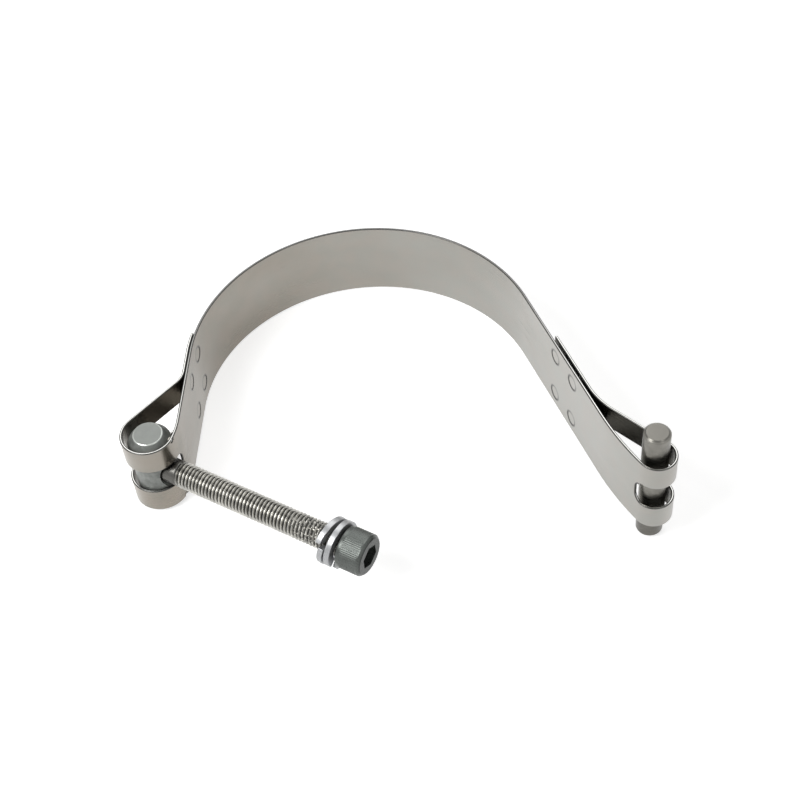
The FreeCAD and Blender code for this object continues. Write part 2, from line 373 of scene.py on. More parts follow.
class Nodes:
    """A node tree, with short calls for the nodes that finishes, floor and room share."""

    def __init__(self, tree):
        self.tree = tree

    def node(self, kind, inputs=None, **settings):
        """Adds a node; an input is a value or another node's output."""
        made = self.tree.nodes.new(kind)
        for key, value in settings.items():
            setattr(made, key, value)
        for key, value in (inputs or {}).items():
            self.feed(made.inputs[key], value)
        return made

    def feed(self, socket, value):
        """Sets a socket, or links it."""
        if isinstance(value, bpy.types.NodeSocket):
            self.tree.links.new(value, socket)
        else:
            socket.default_value = value

    def math(self, operation, first, second=0.0):
        """One step of arithmetic."""
        return self.node("ShaderNodeMath", {0: first, 1: second},
                         operation=operation).outputs["Value"]

    def times(self, first, second):
        """Product of two values."""
        return self.math("MULTIPLY", first, second)

    def gap(self, first, second=0.0):
        """How far apart two values are."""
        return self.math("ABSOLUTE", self.math("SUBTRACT", first, second))

    def ramp(self, value, low, high, start=0.0, end=1.0, **settings):
        """Ramp of a value between two limits."""
        return self.node("ShaderNodeMapRange",
                         {"Value": value, "From Min": low, "From Max": high,
                          "To Min": start, "To Max": end}, **settings).outputs["Result"]

    def mix_value(self, factor, first, second):
        """Mix of two plain values."""
        return self.node("ShaderNodeMix", {0: factor, 2: first, 3: second}).outputs[0]

    def part(self, vector, axis):
        """One part of a vector."""
        return self.node("ShaderNodeSeparateXYZ", {"Vector": vector}).outputs[axis]

    def seen_directly(self):
        """One for rays from the eye, in mirrors and through glass, and nought for light itself."""
        rays = self.node("ShaderNodeLightPath").outputs
        seen = rays["Is Camera Ray"]
        for kind in ("Is Glossy Ray", "Is Transmission Ray"):
            seen = self.math("MAXIMUM", seen, rays[kind])
        return seen


class Surface(Nodes):
    """The node tree of one material."""

    def __init__(self, name, metallic=1.0):
        self.material = bpy.data.materials.new(name)
        self.material.use_nodes = True
        super().__init__(self.material.node_tree)
        self.shader = self.tree.nodes["Principled BSDF"].inputs
        self.shader["Metallic"].default_value = metallic

    def moved(self, vector, location=(0, 0, 0), rotation=(0, 0, 0), scale=(1, 1, 1)):
        """Coordinates moved, turned and stretched."""
        return self.node("ShaderNodeMapping", {"Vector": vector, "Location": location,
                                               "Rotation": rotation, "Scale": scale}).outputs[0]

    def piece(self, **moves):
        """Coordinates of the piece, moved, turned and stretched."""
        return self.moved(self.node("ShaderNodeTexCoord").outputs["Object"], **moves)

    def chart(self, name):
        """A flat map of the strip."""
        return self.node("ShaderNodeUVMap", uv_map=name).outputs["UV"]

    def noise(self, vector, scale, detail, roughness):
        """Noise from 0 to 1."""
        return self.node("ShaderNodeTexNoise",
                         {"Vector": vector, "Scale": scale, "Detail": detail,
                          "Roughness": roughness}).outputs["Fac"]

    def mix(self, factor, first, second):
        """Mix of two colours, each a socket or three numbers."""
        first, second = (value if isinstance(value, bpy.types.NodeSocket) else (*value, 1.0)
                         for value in (first, second))
        return self.node("ShaderNodeMix", {0: factor, 6: first, 7: second},
                         data_type="RGBA").outputs[2]

    def layers(self, base, *coats):
        """A colour with others laid over it, each after its share."""
        for share, over in coats:
            base = self.mix(share, base, over)
        return base

    def cloudy(self, clouds, rgb, dark):
        """A colour with darker clouds in it."""
        return self.mix(self.ramp(clouds, 0.35, 0.7), rgb, shade(rgb, dark))

    def radial(self, vector):
        """Distance from the Z axis."""
        flat = self.node("ShaderNodeCombineXYZ",
                         {axis: self.part(vector, axis) for axis in ("X", "Y")})
        return self.node("ShaderNodeVectorMath", {0: flat.outputs["Vector"]},
                         operation="LENGTH").outputs["Value"]

    def bump(self, height, strength, distance, below=None):
        """Bump from a height, on top of another bump if one is given."""
        inputs = {"Height": height, "Strength": strength, "Distance": distance}
        if below is not None:
            inputs["Normal"] = below
        return self.node("ShaderNodeBump", inputs).outputs["Normal"]

    def finish(self, **inputs):
        """Sets the shader's inputs, whose names are given with underscores, and hands it over."""
        for key, value in inputs.items():
            self.feed(self.shader[key.replace("_", " ")], value)
        return self.material


def shade(rgb, factor):
    """A colour made lighter or darker."""
    return tuple(min(1.0, channel * factor) for channel in rgb)


# Strap

class StrapPath:
    """Mid-line of one half of the strap: arc, leg, flare, eye, tail, bend and lap."""

    def __init__(self, sizes, end):
        half = sizes.thickness / 2
        middle = sizes.bore_radius + half
        eye_radius = end.eye_bore + half
        shift = sizes.thickness + end.weld_gap
        flare = end.flare_angle
        eye_u = end.leg + (end.flare_radius - eye_radius) * math.sin(flare)
        eye_v = end.flare_radius - (end.flare_radius - eye_radius) * math.cos(flare)
        bend_u = eye_u - end.tail_reach
        rise = shift + end.bend_radius - eye_v
        spread = math.hypot(end.tail_reach, rise)
        both = eye_radius + end.bend_radius
        slope = math.asin(both / spread) - math.atan2(rise, end.tail_reach)
        tail = math.sqrt(spread ** 2 - both ** 2)
        wrap = math.pi + slope - flare
        straight_lap = min(end.weld_lap, bend_u)
        arc_lap = (end.weld_lap - straight_lap) / middle * (middle + shift)
        self.stretches = [
            (end.arc_angle * middle, -middle), (end.leg, 0.0),
            (flare * end.flare_radius, end.flare_radius), (wrap * eye_radius, eye_radius),
            (tail, 0.0), (slope * end.bend_radius, -end.bend_radius), (straight_lap, 0.0),
            (arc_lap, middle + shift)]
        self.starts = [0.0]
        self.frames = [(0.0, middle, 0.0)]
        for run, radius in self.stretches:
            self.starts.append(self.starts[-1] + run)
            self.frames.append(self.advance(self.frames[-1], run, radius))
        self.eye_start = self.starts[3]
        self.window = (self.eye_start - end.window_lead, self.starts[5] - end.window_land)
        self.length = self.starts[8]
        first_weld = self.starts[1] + bend_u - end.weld_lap + end.weld_margin
        self.leg_welds = [first_weld, first_weld + sizes.weld_pitch]
        last_weld = self.length - end.weld_margin
        self.tail_welds = [last_weld, last_weld - sizes.weld_pitch]
        self.shift = shift

    @staticmethod
    def advance(start, run, radius):
        """Place and heading after going on by a length at a radius."""
        x, y, heading = start
        if radius == 0.0:
            return (x + run * math.cos(heading), y + run * math.sin(heading), heading)
        turned = heading + run / radius
        return (x + radius * (math.sin(turned) - math.sin(heading)),
                y - radius * (math.cos(turned) - math.cos(heading)), turned)

    def at(self, s):
        """Point of the mid-line at distance s."""
        index = 0
        while index < len(self.stretches) - 1 and s > self.starts[index + 1]:
            index += 1
        x, y, _ = self.advance(self.frames[index], s - self.starts[index],
                               self.stretches[index][1])
        return x, y


def strip_columns(low, high, tight, step, fine):
    """Cross lines of the flat strip: fine where it is bent tightly, wide elsewhere."""
    columns = [low]
    while columns[-1] < high:
        here = columns[-1]
        width = fine if any(a <= here <= b for a, b in tight) else step
        columns.append(min(high, here + width))
    if len(columns) > 2 and columns[-1] - columns[-2] < fine / 2:
        del columns[-2]
    return columns


class OBJECT_OT_clamp_strap(bpy.types.Operator):
    """Model the strap flat, with its windows, weld marks and punch marks, and fold it"""
    bl_idname = "object.clamp_strap"
    bl_label = "Strap"

    ring = 0.7 * MM
    corner_steps = 8
    flat_step = 2.0 * MM
    bent_step = 0.75 * MM
    fold_step = 0.4 * MM
    tool_height = 1.0 * MM
    tool_edge = 0.12 * MM

    def execute(self, context):
        clear_selection()
        scene = context.scene
        sizes = self.sizes = scene.clamp_strap
        left, right = (StrapPath(sizes, end) for end in (scene.clamp_left, scene.clamp_right))
        self.left, self.right = left, right
        self.halves = ((left, scene.clamp_left, -1), (right, scene.clamp_right, 1))
        self.origin = left.length
        self.whole = left.length + right.length
        windows = [self.span(way, *path.window) for path, _, way in self.halves]
        strap = self.flat_strip(windows)
        for window in windows:
            self.round_window(strap, *window)
        apply_modifier(strap, "SOLIDIFY", thickness=sizes.thickness, offset=0.0,
                       use_even_offset=True)
        tidy(strap)
        round_edges(strap, sizes.rim_radius, segments=4)
        welds = self.mark_welds(strap)
        self.punch_stakes(strap)
        self.lay_map(strap)
        self.fold(strap)
        tidy(strap, 40.0)
        self.add_nuggets(strap)
        finish_piece(strap, "strap_band", "strap_body", "strap",
                     strap_finish(scene.clamp_finish, welds, self.origin,
                                  (left.eye_start, right.eye_start)))
        return {"FINISHED"}

    def span(self, way, first, last):
        """A stretch of one half, as its two ends along the whole strip."""
        return sorted((self.origin + way * first, self.origin + way * last))

    def flat_strip(self, windows):
        """Grid of the flat strip, without the faces round each window."""
        sizes = self.sizes
        corner = sizes.window_corner
        reach = corner + self.ring
        inner = sizes.window_height / 2 - corner
        turns = [math.radians(90.0 * k / self.corner_steps) for k in range(self.corner_steps + 1)]
        middle = self.corner_steps // 2
        rises = [reach * math.tan(t) for t in turns[:middle + 1]]
        outs = [reach / math.tan(t) for t in turns[middle:]]
        half = sizes.width / 2
        rows = [inner + rise for rise in rises] + [half]
        rows = sorted([-row for row in rows] + rows)
        marks = [0.0]
        for low, high in windows:
            marks += [low + corner - out for out in outs] + [high - corner + out for out in outs]
        marks = sorted(marks + [self.whole])
        bends = [self.span(way, path.starts[first], path.starts[last])
                 for path, _, way in self.halves for first, last in ((2, 4), (5, 6))]
        columns = [0.0]
        for low, high in zip(marks, marks[1:]):
            columns += strip_columns(low, high, bends, self.flat_step, self.bent_step)[1:]
        bpy.ops.mesh.primitive_grid_add(x_subdivisions=len(columns) - 1,
                                        y_subdivisions=len(rows) - 1, size=2.0)
        strap = added("strap_flat")
        for index, vertex in enumerate(strap.data.vertices):
            vertex.co = (columns[index % len(columns)], 0.0, rows[index // len(columns)])
        edge = inner + reach - NEAR
        choose(strap, "FACE", lambda face: abs(face.center.z) < edge and any(
            low - self.ring < face.center.x < high + self.ring for low, high in windows))
        bpy.ops.mesh.delete(type="FACE")
        close_mesh()
        return strap

    def round_window(self, strap, low, high):
        """Draws the square hole's edge in to the window's rounded outline."""
        corner = self.sizes.window_corner
        inner = self.sizes.window_height / 2 - corner
        outside = NEAR + self.ring
        top = inner + corner + outside
        points = [vertex.co.copy() for vertex in strap.data.vertices]
        faces = Counter(key for face in strap.data.polygons for key in face.edge_keys)

        def on_hole(edge):
            middle = (points[edge.vertices[0]] + points[edge.vertices[1]]) / 2
            return (faces[edge.key] == 1 and abs(middle.z) < top
                    and low - outside < middle.x < high + outside)

        choose(strap, "EDGE", on_hole)
        bpy.ops.mesh.extrude_edges_move()
        close_mesh()
        for vertex in strap.data.vertices[len(points):]:
            x, _, z = vertex.co
            side = math.copysign(1.0, z)
            centre_x = min(max(x, low + corner), high - corner)
            centre_z = side * min(abs(z), inner)
            away = Vector((x - centre_x, z - centre_z)).normalized() * corner
            vertex.co = (centre_x + away.x, 0.0, centre_z + away.y)

    def mark_welds(self, strap):
        """Presses the electrodes' round marks into both outer faces, and tells their places."""
        spots = [(self.origin + way * s, row * end.weld_rows / 2)
                 for path, end, way in self.halves
                 for s in path.leg_welds + path.tail_welds for row in (-1, 1)]
        tools = [self.electrode(*spot) for spot in spots]
        join(tools[0], tools)
        cut(strap, named("electrodes"))
        return spots

    def electrode(self, x, z):
        """A short round tool with a rounded foot, sunk into the face that stays outside."""
        sizes = self.sizes
        face = sizes.thickness / 2 - sizes.weld_depth + self.tool_height / 2
        bpy.ops.mesh.primitive_cylinder_add(
            vertices=40, radius=sizes.weld_radius, depth=self.tool_height,
            location=(x, -face, z), rotation=(math.pi / 2, 0, 0))
        return round_edges(added("electrode"), self.tool_edge)

    def punch_stakes(self, strap):
        """Pushes the left eye's rims in over the trunnion with a round punch."""
        sizes = self.sizes
        before_eye, under_rim = 0.4 * MM, 0.05 * MM
        x = self.origin - self.left.eye_start - before_eye
        outside = -sizes.thickness / 2 - sizes.stake_radius + sizes.stake_depth
        half = sizes.width / 2
        for row in (-1, 1):
            z = row * (half - sizes.stake_inset)
            bulge = self.ball(x, outside + sizes.thickness, z)
            edit(bulge)
            bpy.ops.mesh.bisect(plane_co=(x, 0, row * (half - under_rim)), plane_no=(0, 0, row),
                                use_fill=True, clear_outer=True)
            mode("OBJECT")
            cut(strap, bulge, "UNION")
            cut(strap, self.ball(x, outside, z))

    def ball(self, *centre):
        """A round punch head."""
        bpy.ops.mesh.primitive_uv_sphere_add(segments=28, ring_count=18,
                                             radius=self.sizes.stake_radius, location=centre)
        return added("punch")

    @staticmethod
    def lay_map(strap):
        """Flat maps of the strip in metres: along and across it, and through its thickness."""
        mesh = strap.data
        for layer in list(mesh.uv_layers):
            mesh.uv_layers.remove(layer)
        face = mesh.uv_layers.new(name="Strip")
        depth = mesh.uv_layers.new(name="Depth")
        for loop in mesh.loops:
            point = mesh.vertices[loop.vertex_index].co
            face.data[loop.index].uv = (point.x, point.z)
            depth.data[loop.index].uv = (point.y, 0.0)

    def fold(self, strap):
        """Bends the flat strip along its mid-line."""
        count = int(self.whole / self.fold_step)
        curve = bpy.data.curves.new("strap_line", "CURVE")
        curve.dimensions = "3D"
        curve.twist_mode = "Z_UP"
        spline = curve.splines.new("POLY")
        spline.points.add(count)
        for index, point in enumerate(spline.points):
            s = self.whole * index / count - self.origin
            x, y = self.right.at(s) if s >= 0 else self.left.at(-s)
            point.co = (x if s >= 0 else -x, y, 0.0, 1.0)
        line = bpy.data.objects.new("strap_line", curve)
        bpy.context.scene.collection.objects.link(line)
        apply_modifier(strap, "CURVE", object=line, deform_axis="POS_X")
        bpy.data.objects.remove(line)

    def add_nuggets(self, strap):
        """Slugs of melted metal between each tail and its leg."""
        sizes = self.sizes
        little = 0.1 * MM
        for path, end, way in self.halves:
            for s in path.leg_welds:
                x, y = path.at(s)
                next_x, next_y = path.at(s + little)
                heading = math.atan2(next_y - y, next_x - x)
                out = Vector((-math.sin(heading) * way, math.cos(heading), 0.0))
                for row in (-1, 1):
                    centre = Vector((way * x, y, row * end.weld_rows / 2)) + out * path.shift / 2
                    bpy.ops.mesh.primitive_cylinder_add(
                        vertices=24, radius=sizes.nugget_radius,
                        depth=end.weld_gap + 2 * sizes.nugget_overlap,
                        location=centre, rotation=out.to_track_quat("Z", "Y").to_euler())
                    join(strap, [added("nugget")])


def strap_finish(colours, welds, origin, eye_starts):
    """Rolled stainless strip: fine grain, random warm tone, painted shade on the left arcs and
    inside the eyes, painted shade and a painted highlight line on the edges, weld rings.
    """
    metal = Surface("rolled_stainless")
    strip = metal.chart("Strip")
    along = metal.part(strip, "X")
    through = metal.part(metal.chart("Depth"), "X")
    depth = metal.gap(through)
    grain = metal.noise(metal.moved(strip, scale=(60.0, 1400.0, 1.0)), 1.0, 4.0, 0.6)
    clouds = metal.noise(metal.moved(strip, scale=(18.0, 30.0, 1.0)), 1.0, 3.0, 0.5)
    speck = metal.noise(strip, 900.0, 2.0, 0.5)
    blotch = metal.noise(strip, 130.0, 2.0, 0.5)
    nearest = None
    for x, z in welds:
        gap = metal.node("ShaderNodeVectorMath", {0: strip, 1: (x, z, 0.0)},
                         operation="DISTANCE").outputs["Value"]
        nearest = gap if nearest is None else metal.math("MINIMUM", nearest, gap)

    def across(low, high, start, end):
        return metal.ramp(along, origin + low * MM, origin + high * MM, start, end)

    def in_depth(low, high, start, end):
        return metal.ramp(depth, low * MM, high * MM, start, end)

    # Painted shade: the strip darkens and warms towards the left arcs, standing in for the shadow
    # they reflect; the clouds add a random tone.
    left_painted_shade = metal.times(across(-150, -95, 0.8, 1.0), across(-85, 70, 0.9, 0.0))
    painted_shade_and_tint = metal.math("ADD", left_painted_shade, metal.ramp(clouds, 0.35, 0.72, -0.12, 0.25))
    rust_brown = (0.45, 0.31, 0.26)
    rust = metal.ramp(blotch, 0.40, 0.60, 0.0, 0.07)
    ring_radius = 3.05 * MM
    ring = metal.ramp(metal.gap(nearest, ring_radius), 0.25 * MM, 0.75 * MM, 0.85, 0.0)
    left_eye, right_eye = (start / MM for start in eye_starts)
    # Painted shade on the inner faces of the eyes and tails, where they face the leg and lie in
    # its shade; weaker towards the left.
    loops = metal.math("ADD", across(-left_eye - 4, -left_eye + 2, 1.0, 0.0),
                       across(right_eye - 2, right_eye + 4, 0.0, 1.0))
    inner_face = metal.ramp(through, 0.30 * MM, 0.52 * MM, 0.0, 0.65)
    painted_loop_shade = metal.times(metal.times(loops, inner_face), across(-130, 130, 0.45, 1.0))
    # Painted light on the strip's rounded edges: painted shade on their sides and a painted
    # highlight line along their middle, the line only on the legs and eyes.
    off_weld = metal.ramp(nearest, 3.2 * MM, 3.4 * MM)
    painted_edge_shade = metal.times(off_weld, in_depth(0.50, 0.545, 1.0, 0.0))
    legs_and_eyes = metal.ramp(metal.gap(along, origin), 85 * MM, 150 * MM, 0.08, 0.85)
    painted_edge_highlight = metal.times(legs_and_eyes, in_depth(0.08, 0.17, 1.0, 0.0))
    base = metal.layers(
        colours.strap, (painted_shade_and_tint, colours.strap_shade_and_tone), (rust, rust_brown),
        (ring, shade(colours.strap, 0.2)), (painted_loop_shade, shade(colours.strap_shade_and_tone, 0.2)),
        (painted_edge_shade, shade(colours.strap_edge_painted_light, 0.13)), (painted_edge_highlight, colours.strap_edge_painted_light))
    rough = metal.math("ADD", metal.ramp(grain, 0.3, 0.7, 0.20, 0.25),
                       metal.ramp(clouds, 0.3, 0.7, -0.02, 0.05))
    rise = metal.bump(grain, 0.07, 0.03 * MM)
    rise = metal.bump(speck, 0.15, 0.02 * MM, rise)
    return metal.finish(Base_Color=base, Roughness=rough, Normal=rise)


# Trunnion

class OBJECT_OT_clamp_trunnion(bpy.types.Operator):
    """Model the trunnion: a barrel with coned ends and a countersunk cross hole"""
    bl_idname = "object.clamp_trunnion"
    bl_label = "Trunnion"

    def execute(self, context):
        clear_selection()
        sizes = context.scene.clamp_trunnion
        matrix = screw_frame(context)
        centre = matrix.to_translation()
        half = sizes.length / 2
        shoulder = half - sizes.cone_height
        trunnion = section("barrel", [
            (0.0, -half), (sizes.face_radius, -half), (sizes.radius, -shoulder),
            (sizes.radius, shoulder), (sizes.face_radius, half), (0.0, half)], closed=False)
        turn(trunnion, steps=96)
        tidy(trunnion)
        round_edges(trunnion, sizes.edge_radius, segments=3, angle=25.0)
        place(trunnion, Matrix.Translation(centre))
        hole = sizes.hole_radius
        inner = math.sqrt(sizes.radius ** 2 - hole ** 2) - sizes.hole_chamfer
        beyond = 1.0 * MM
        outer = sizes.radius + beyond
        wide = hole + outer - inner
        drill = section("drill", [(0.0, -outer), (wide, -outer), (hole, -inner), (hole, inner),
                                  (wide, outer), (0.0, outer)], closed=False)
        turn(drill, steps=64)
        tidy(drill)
        cut(trunnion, place(drill, matrix))
        tidy(trunnion, 28.0)
        finish_piece(trunnion, "coned_trunnion", "trunnion_body", "trunnion",
                     trunnion_finish(context.scene.clamp_finish, centre, sizes))
        return {"FINISHED"}


def trunnion_finish(colours, centre, sizes):
    """Grey-green phosphate with fine crystals; the end faces' edges are worn glossy and carry a
    painted highlight.
    """
    metal = Surface("phosphate_coat")
    spot = metal.piece(location=-centre)
    crystals = metal.noise(spot, 2600.0, 3.0, 0.6)
    clouds = metal.noise(spot, 330.0, 4.0, 0.65)
    height = metal.gap(metal.part(spot, "Z"))
    half, rim = sizes.length / 2, sizes.face_radius
    on_face = metal.ramp(height, half - 0.5 * MM, half - 0.1 * MM)
    at_rim = metal.ramp(metal.radial(spot), rim - 0.3 * MM, rim - 0.1 * MM)
    # The end faces' edges: worn glossy and metallic, and painted twice as light as the coat, a
    # painted highlight.
    worn_and_highlit_rim = metal.times(on_face, at_rim)
    base = metal.layers(
        colours.trunnion, (metal.ramp(clouds, 0.38, 0.62), shade(colours.trunnion, 0.66)),
        (metal.times(on_face, 0.8), colours.trunnion), (worn_and_highlit_rim, shade(colours.trunnion, 2.0)))
    rough = metal.mix_value(worn_and_highlit_rim, metal.ramp(crystals, 0.3, 0.7, 0.36, 0.5), 0.22)
    return metal.finish(Base_Color=base, Roughness=rough,
                        Metallic=metal.ramp(worn_and_highlit_rim, 0.0, 1.0, 0.2, 1.0),
                        Normal=metal.bump(crystals, 0.3, 0.04 * MM))


# Screw and washers

def screw_frame(context):
    """Frame of the screw: Z along it from the trunnion's axis to the head, Y up."""
    angle = context.scene.clamp_screw.angle
    axis = Vector((math.cos(angle), math.sin(angle), 0.0))
    side = Vector((-math.sin(angle), math.cos(angle), 0.0))
    turned = Matrix((side, Vector((0, 0, 1)), axis)).transposed().to_4x4()
    return Matrix.Translation(middle_of("trunnion")) @ turned


class OBJECT_OT_clamp_screw(bpy.types.Operator):
    """Model the cap screw with its thread, knurled head and hexagon socket"""
    bl_idname = "object.clamp_screw"
    bl_label = "Cap screw"

    def execute(self, context):
        clear_selection()
        sizes = context.scene.clamp_screw
        matrix = screw_frame(context)
        shank = self.thread(sizes)
        join(shank, [self.head(sizes)])
        place(shank, matrix)
        bpy.ops.object.shade_smooth_by_angle(angle=math.radians(32.0))
        finish_piece(shank, "socket_head_screw", "screw", "cap_screw",
                     screw_finish(context.scene.clamp_finish, matrix, sizes))
        return {"FINISHED"}

    @staticmethod
    def thread(sizes):
        """The threaded shank: one pitch's outline, in parts of the pitch, wound up and trimmed."""
        crest, root, pitch = sizes.crest_radius, sizes.root_radius, sizes.pitch
        outline = [(0.0, root + 0.03 * MM), (0.07, root), (0.18, root), (0.25, root + 0.04 * MM),
                   (0.53, crest - 0.09 * MM), (0.58, crest), (0.67, crest),
                   (0.72, crest - 0.09 * MM), (1.0, root + 0.03 * MM)]
        spare_turns = 3
        before_tip = 1.49 * pitch
        patch_fade = 1.5 * MM
        into_head = 0.4 * MM
        tip = sizes.reach - sizes.length
        top = sizes.reach + into_head
        turns = math.ceil((top - tip) / pitch) + spare_turns
        shank = section("thread", [(r, z * pitch) for z, r in outline], closed=False)
        turn(shank, steps=48, rise=pitch, turns=turns)
        place(shank, Matrix.Translation((0, 0, tip - before_tip)))
        for height, way in ((tip, -1), (top, 1)):
            edit(shank)
            bpy.ops.mesh.bisect(plane_co=(0, 0, height), plane_no=(0, 0, way),
                                clear_outer=True, threshold=THIN)
            bpy.ops.mesh.extrude_edges_move()
            bpy.ops.mesh.merge(type="CENTER")
            mode("OBJECT")
        for vertex in shank.data.vertices:
            x, y, z = vertex.co
            radius = math.hypot(x, y)
            wanted = min(radius, crest - sizes.tip_chamfer + (z - tip))
            if z > 0.0:
                fill = min(1.0, max(0.0, (sizes.patch_end - z) / patch_fade))
                wanted += (sizes.patch_radius - wanted) * fill
            if radius > NEAR:
                vertex.co.xy *= wanted / radius
        return tidy(shank, 32.0)

    @staticmethod
    def head(sizes):
        """The head: turned outline, knurl, socket."""
        radius, height, rim = sizes.head_radius, sizes.head_height, sizes.rim_chamfer
        seat = sizes.reach
        collar, plain_end, knurl_fade = 1.5 * MM, 0.35 * MM, 0.3 * MM
        knurl_end = height - rim - plain_end
        heights = [collar + knurl_fade, knurl_end - knurl_fade]
        outline = [(0.0, 0.0), (radius - 0.4 * MM, 0.0), (radius - 0.12 * MM, 0.12 * MM),
                   (radius, 0.4 * MM), (radius, collar), (radius, heights[0]),
                   (radius, heights[1]), (radius, knurl_end), (radius, height - rim),
                   (radius - rim * 0.55, height - rim * 0.35),
                   (radius - rim, height), (0.0, height)]
        head = section("head", [(r, seat + z) for r, z in outline], closed=False)
        groove = (0.0, 0.6, 1.0, 0.6)
        steps = len(groove) * sizes.knurl_count
        turn(head, steps)
        for vertex in head.data.vertices:
            x, y, z = vertex.co
            if heights[0] - NEAR < z - seat < heights[1] + NEAR:
                step = round((math.atan2(y, x) / ONE_TURN + 1) * steps) % len(groove)
                vertex.co.xy *= (radius - groove[step] * sizes.knurl_depth) / radius
        tidy(head)
        bpy.ops.mesh.primitive_cylinder_add(
            vertices=6, radius=sizes.socket_flats / math.sqrt(3), depth=2 * sizes.socket_depth,
            location=(0, 0, seat + height))
        cut(head, added("hexagon"))
        point = sizes.socket_flats / 2 / math.sqrt(3)
        bpy.ops.mesh.primitive_cone_add(
            vertices=48, radius1=0.0, radius2=sizes.socket_flats / 2, depth=point,
            location=(0, 0, seat + height - sizes.socket_depth - point / 2 + NEAR))
        cut(head, added("drill"))
        return tidy(head, 32.0)


def screw_finish(colours, matrix, sizes):
    """Dark coat: grey-green on the head, rougher and speckled on the last of the thread, with
    painted shade in the thread's grooves and on the head's end face.
    """
    metal = Surface("dark_screw_coat")
    back = matrix.inverted()
    spot = metal.piece(location=back.to_translation(), rotation=back.to_euler())
    along = metal.part(spot, "Z")
    fine = metal.noise(spot, 1500.0, 4.0, 0.65)
    clouds = metal.noise(spot, 260.0, 3.0, 0.5)
    chips = metal.noise(spot, 1100.0, 2.0, 0.5)
    on_head = metal.ramp(along, sizes.reach - 0.2 * MM, sizes.reach)
    worn = metal.times(metal.ramp(along, 60 * MM, 67 * MM), metal.math("SUBTRACT", 1.0, on_head))
    on_patch = metal.ramp(along, sizes.patch_end - 1.1 * MM, sizes.patch_end + 0.9 * MM, 1.0, 0.0)
    # Painted shade: the thread's grooves are darkened towards their bottom.
    root = metal.ramp(metal.radial(spot), sizes.root_radius + 0.1 * MM,
                      sizes.crest_radius - 0.40 * MM, 1.0, 0.0)
    top = sizes.reach + sizes.head_height
    # Painted shade on the head's end face.
    end_face_shade = metal.ramp(along, top - 0.5 * MM, top - 0.1 * MM)
    head = metal.layers(metal.cloudy(clouds, colours.head, 0.8),
                        (end_face_shade, shade(colours.head, 0.42)))
    dark_specks = metal.times(worn, metal.ramp(fine, 0.52, 0.6))
    bright_chips = metal.times(worn, metal.ramp(chips, 0.58, 0.64))
    base = metal.layers(
        metal.cloudy(clouds, colours.screw, 0.65), (on_patch, shade(colours.screw, 0.2)),
        (root, shade(colours.screw, 0.11)), (on_head, head),
        (dark_specks, shade(colours.screw, 0.15)), (bright_chips, shade(colours.screw, 1.8)))
    rough = metal.math("ADD", metal.ramp(fine, 0.3, 0.7, 0.24, 0.34), metal.times(worn, 0.12))
    rise = metal.bump(fine, 0.2, 0.03 * MM)
    rise = metal.bump(metal.times(worn, fine), 0.9, 0.4 * MM, rise)
    return metal.finish(Base_Color=base, Roughness=rough, Normal=rise,
                        Metallic=metal.ramp(on_head, 0.0, 1.0, 1.0, 0.6))


class OBJECT_OT_clamp_washers(bpy.types.Operator):
    """Model the two split spring washers"""
    bl_idname = "object.clamp_washers"
    bl_label = "Spring washers"

    def execute(self, context):
        clear_selection()
        sizes = context.scene.clamp_washers
        metal = washer_finish(context.scene.clamp_finish)
        inner = context.scene.clamp_screw.reach - sizes.inner_behind
        outer = inner - sizes.outer_behind
        for name, node, middle, split_at, tilt, towards in (
                ("split_washer_outer", "spring_washer_outer", outer, sizes.outer_split_at,
                 sizes.outer_tilt, sizes.outer_towards),
                ("split_washer_inner", "spring_washer_inner", inner, sizes.inner_split_at,
                 sizes.inner_tilt, sizes.inner_towards)):
            washer = self.ring(sizes, split_at)
            lean = Matrix.Rotation(tilt, 4, Vector((math.sin(towards), -math.cos(towards), 0.0)))
            place(washer, screw_frame(context) @ Matrix.Translation((0, 0, middle)) @ lean)
            finish_piece(washer, name, "washers", node, metal)
        return {"FINISHED"}

    @staticmethod
    def ring(sizes, split_at):
        """A square section wound left-handed through almost a turn, with closed ends."""
        low, high, thick = sizes.bore_radius, sizes.outer_radius, sizes.thickness
        washer = section("ring", [(low, 0.0), (high, 0.0), (high, thick), (low, thick)])
        turn(washer, steps=120, angle=sizes.split_angle - ONE_TURN, rise=sizes.rise)
        edit(washer)
        bpy.ops.mesh.fill_holes(sides=0)
        mode("OBJECT")
        tidy(washer)
        round_edges(washer, sizes.edge_radius, segments=3, angle=50.0)
        start = split_at - sizes.split_angle / 2
        down = Matrix.Translation((0, 0, -(thick + sizes.rise) / 2))
        place(washer, down @ Matrix.Rotation(start, 4, "Z"))
        return tidy(washer, 40.0)


def washer_finish(colours):
    """Bright zinc with a faint grain."""
    metal = Surface("bright_zinc", 0.65)
    spot = metal.piece()
    grain = metal.noise(spot, 900.0, 3.0, 0.6)
    base = metal.cloudy(metal.noise(spot, 160.0, 2.0, 0.5), colours.washer, 0.86)
    return metal.finish(Base_Color=base, Roughness=metal.ramp(grain, 0.3, 0.7, 0.27, 0.40),
                        Normal=metal.bump(grain, 0.12, 0.03 * MM))


# Pin

